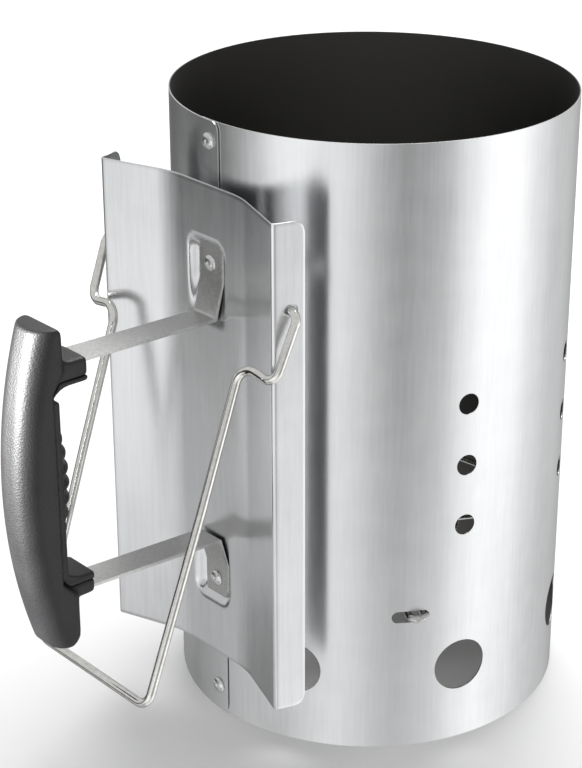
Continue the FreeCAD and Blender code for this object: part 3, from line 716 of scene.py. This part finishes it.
def rivets(name, marks, nodes):
    """Copies of the rivet at (place, outward direction)."""
    points, faces = turned(rivet_form(), 40)
    base = outward(mesh_object(name + "_form", points, faces))
    turns = []
    for spot, direction in marks:
        turn = Vector((0, 0, 1)).rotation_difference(Vector(direction)).to_euler()
        turns.append((spot, tuple(turn), (1, 1, 1), False))
    made = grow(name, add_marks(base, turns), STUD_TREE, RIVET_METAL, Size=1.0)
    smooth_by_angle(made, 40)
    return place(made, "chimney", "rivet_steel", *nodes)


def centre_of(node):
    """Middle of a node's box, in millimetres."""
    low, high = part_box(node)
    return (low + high) / 2 / MM


seam_out = polar(1, SEAM_RIVET_ANGLE)
seam_seat = lifted_radius(SHELL_RADIUS, SEAM_RIVET_ANGLE) + RIVET_SEAT_GAP
seam_marks = [(seam_out * seam_seat + Vector((0, 0, centre_of(node).z)), seam_out)
              for node in ("seam_rivet_top", "seam_rivet_bottom")]
rivets("seam_rivets", seam_marks, ("seam_rivet_top", "seam_rivet_bottom"))
strap_marks = []
for node in ("strap_rivet_upper", "strap_rivet_lower"):
    middle = centre_of(node)
    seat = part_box(node)[0].x / MM + RIVET_HEAD_HEIGHT
    strap_marks.append(((seat, middle.y, middle.z), (-1, 0, 0)))
rivets("strap_rivets", strap_marks, ("strap_rivet_upper", "strap_rivet_lower"))


# ---- pieces refined from the design -------------------------------------------------------
def copy_of(node):
    """Merged copy of a design piece, ready for finishing."""
    made = bpy.data.objects.new(node + "_copy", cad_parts[node].data.copy())
    bpy.context.scene.collection.objects.link(made)
    work = bmesh.new()
    work.from_mesh(made.data)
    bmesh.ops.remove_doubles(work, verts=work.verts, dist=1e-6)
    bmesh.ops.dissolve_limit(work, angle_limit=math.radians(0.6), verts=work.verts, edges=work.edges)
    work.to_mesh(made.data)
    work.free()
    return made


def eased(name, node, slot, material, ease_mm, angle=32):
    """Design piece with its sharp edges eased and its flats kept flat."""
    made = copy_of(node)
    made.data.polygons.foreach_set("use_smooth", [True] * len(made.data.polygons))
    ease(made, ease_mm, angle)
    made.modifiers.new("keep_flats", "WEIGHTED_NORMAL").weight = 90
    return place(finished(name, made, material), "chimney", slot, node)


def moulded(name, node, slot, material, voxel_mm, passes, crown_passes):
    """Design piece remeshed and relaxed into a soft-edged moulding; the parting edge stays crisp."""
    made = copy_of(node)
    remesh = made.modifiers.new("remesh", "REMESH")
    remesh.mode = "VOXEL"
    remesh.voxel_size = voxel_mm * MM
    made = finished(name + "_blank", made)
    crown = made.vertex_groups.new(name="crown")
    for vertex in made.data.vertices:
        away = abs(vertex.co.x / MM - PARTING_LINE)
        crown.add([vertex.index], smooth_step(1.0, 7.0, away), "REPLACE")
    for label, group, count in (("relax", "", passes), ("round_ends", "crown", crown_passes)):
        relax = made.modifiers.new(label, "SMOOTH")
        relax.factor = 0.5
        relax.iterations = count
        relax.vertex_group = group
    made = finished(name, made, material)
    smooth_by_angle(made, 60)
    return place(made, "chimney", slot, node)


eased("upper_strap", "handle_strap_upper", "strap_steel", STRAP_STEEL, 0.25)
eased("lower_strap", "handle_strap_lower", "strap_steel", STRAP_STEEL, 0.25)
eased("upper_washer", "rivet_washer_upper", "rivet_steel", RIVET_METAL, 0.12)
eased("lower_washer", "rivet_washer_lower", "rivet_steel", RIVET_METAL, 0.12)
eased("upper_screw", "grip_screw_upper", "screw_steel", SCREW_METAL, 0.12)
eased("lower_screw", "grip_screw_lower", "screw_steel", SCREW_METAL, 0.12)
grip = [moulded("grip_back", "grip_body", "grip_plastic", GRIP_NYLON, 0.75, 3, 26),
        moulded("finger_side", "finger_cover", "grip_plastic", COVER_NYLON, 0.6, 3, 6)]


# ---- floor, light and camera --------------------------------------------------------------
# Brightness of the studio walls by azimuth in degrees, at the three heights WALL_TOP to WALL_LOW.
WALLS = (
    (0, 0.75, 0.75, 0.65), (30, 0.45, 0.5, 0.4), (55, 0.28, 0.38, 0.3), (72, 0.14, 0.45, 0.28),
    (94, 0.16, 0.95, 0.2), (112, 0.07, 0.8, 0.38), (133, 0.08, 0.6, 0.6), (147, 0.3, 0.95, 0.6),
    (160, 0.7, 1.3, 0.5), (172, 1.25, 1.6, 0.42), (185, 1.45, 1.4, 0.7), (200, 1.25, 1.15, 0.98),
    (208, 1.2, 1.12, 1.06), (220, 0.95, 0.88, 0.95), (232, 0.55, 0.6, 0.84), (244, 0.3, 0.46, 0.78),
    (256, 0.4, 0.65, 0.88), (268, 0.55, 0.82, 0.98), (280, 1.1, 1.3, 1.22), (295, 1.6, 1.6, 1.4),
    (315, 1.6, 1.6, 1.1), (332, 1.15, 1.1, 0.85), (350, 0.8, 0.8, 0.7))
WALL_TOP, WALL_MIDDLE, WALL_LOW = -18.0, -25.0, -31.5    # degrees above eye level
CEILING = 0.7                      # even brightness of everything above eye level
CEILING_START = -0.12              # where it starts, as the upward part of a direction
BRIGHTEST = 2.0                    # the tables are held as shares of this

CAMERA_TARGET = (0.0, 0.0, 0.15)
CAMERA_DISTANCE = 0.99665
CAMERA_AZIMUTH, CAMERA_ELEVATION, CAMERA_ROLL = -43.298, 23.929, 0.83
LENS = 95.05
LENS_SHIFT = (-0.1038, -0.0057)


def studio_walls():
    """Surroundings: large soft panels round the object, each fading with height."""
    world = bpy.data.worlds.new("studio_walls")
    world.use_nodes = True
    bpy.context.scene.world = world
    tree = world.node_tree
    tree.nodes.clear()
    direction = add(tree, "ShaderNodeTexCoord").outputs["Generated"]
    ray = add(tree, "ShaderNodeSeparateXYZ", {"Vector": direction})
    azimuth = add(tree, "ShaderNodeMath", {0: ray.outputs["Y"], 1: ray.outputs["X"]}, operation="ARCTAN2")
    share = add(tree, "ShaderNodeMath", {0: azimuth.outputs[0], 1: 2 * math.pi}, operation="DIVIDE")
    round_share = add(tree, "ShaderNodeMath", {0: share.outputs[0]}, operation="FRACT")
    rings = []
    for column in (1, 2, 3):
        ring = add(tree, "ShaderNodeValToRGB", {"Fac": round_share.outputs[0]})
        ramp = ring.color_ramp
        ramp.interpolation = "EASE"
        for i, row in enumerate(WALLS):
            stop = ramp.elements[i] if i < 2 else ramp.elements.new(row[0] / 360)
            stop.position = row[0] / 360
            stop.color = [row[column] / BRIGHTEST] * 3 + [1]
        last = ramp.elements.new(1.0)
        last.color = [WALLS[0][column] / BRIGHTEST] * 3 + [1]
        rings.append(ring.outputs[0])
    middle = math.sin(math.radians(WALL_MIDDLE))
    walls = rings[1]
    for ring, angle in ((rings[0], WALL_TOP), (rings[2], WALL_LOW)):
        fade = add(tree, "ShaderNodeMapRange", {
            "Value": ray.outputs["Z"], "From Min": middle, "From Max": math.sin(math.radians(angle))},
            interpolation_type="SMOOTHSTEP")
        walls = add(tree, "ShaderNodeMix", {
            "Factor": fade.outputs[0], "A": walls, "B": ring}, data_type="RGBA").outputs["Result"]
    above = add(tree, "ShaderNodeMapRange", {
        "Value": ray.outputs["Z"], "From Min": CEILING_START, "From Max": 0.0},
        interpolation_type="SMOOTHSTEP")
    room = add(tree, "ShaderNodeMix", {
        "Factor": above.outputs[0], "A": walls, "B": [CEILING / BRIGHTEST] * 3 + [1]},
        data_type="RGBA")
    light = add(tree, "ShaderNodeBackground", {"Color": room.outputs["Result"], "Strength": BRIGHTEST})
    add(tree, "ShaderNodeOutputWorld", {"Surface": light.outputs[0]})


def softbox(name, spot, aim, size, power):
    """Round area light that is not itself in view."""
    data = bpy.data.lights.new(name, "AREA")
    data.shape = "DISK"
    data.size = size
    data.energy = power
    lamp = bpy.data.objects.new(name, data)
    bpy.context.scene.collection.objects.link(lamp)
    lamp.location = spot
    lamp.rotation_euler = (Vector(aim) - Vector(spot)).to_track_quat("-Z", "Y").to_euler()
    lamp.visible_camera = False
    return lamp


def studio(grip_pieces):
    """Plain white floor, soft light from all round, and one softbox that lights only the grip."""
    bpy.ops.mesh.primitive_plane_add(size=60)
    floor = bpy.context.object
    floor.name = "floor"
    material, shader = start_material("white_studio_floor")[::2]
    shader.inputs["Base Color"].default_value = linear("#f6f6f6")
    shader.inputs["Roughness"].default_value = 0.9
    floor.data.materials.append(material)
    floor.visible_glossy = False
    studio_walls()
    softbox("overhead_softbox", (0.9, 0.55, 1.8), (0, 0, 0.1), 1.5, 30)
    on_grip = bpy.data.collections.new("lit_by_grip_softbox")
    for piece in grip_pieces:
        on_grip.objects.link(piece)
    grip_light = softbox("grip_softbox", (-1.14, 0.34, 0.28), (-0.2, 0, 0.15), 0.5, 110)
    grip_light.light_linking.receiver_collection = on_grip


def camera():
    """Camera a little above the object, off the grip's left shoulder."""
    azimuth, elevation, roll = map(math.radians, (CAMERA_AZIMUTH, CAMERA_ELEVATION, CAMERA_ROLL))
    right = Vector((math.cos(azimuth), math.sin(azimuth), 0))
    back = Vector((math.sin(azimuth) * math.cos(elevation), -math.cos(azimuth) * math.cos(elevation),
                   math.sin(elevation)))
    up = back.cross(right)
    turned_right = right * math.cos(roll) + up * math.sin(roll)
    turned_up = up * math.cos(roll) - right * math.sin(roll)
    data = bpy.data.cameras.new("camera")
    data.lens = LENS
    data.sensor_width = 36
    data.shift_x, data.shift_y = LENS_SHIFT
    data.clip_end = 100
    made = bpy.data.objects.new("camera", data)
    bpy.context.scene.collection.objects.link(made)
    pose = Matrix((turned_right, turned_up, back)).transposed().to_4x4()
    pose.translation = Vector(CAMERA_TARGET) + back * CAMERA_DISTANCE
    made.matrix_world = pose
    bpy.context.scene.camera = made


studio(grip)
camera()
bpy.context.scene.view_settings.view_transform = "Standard"
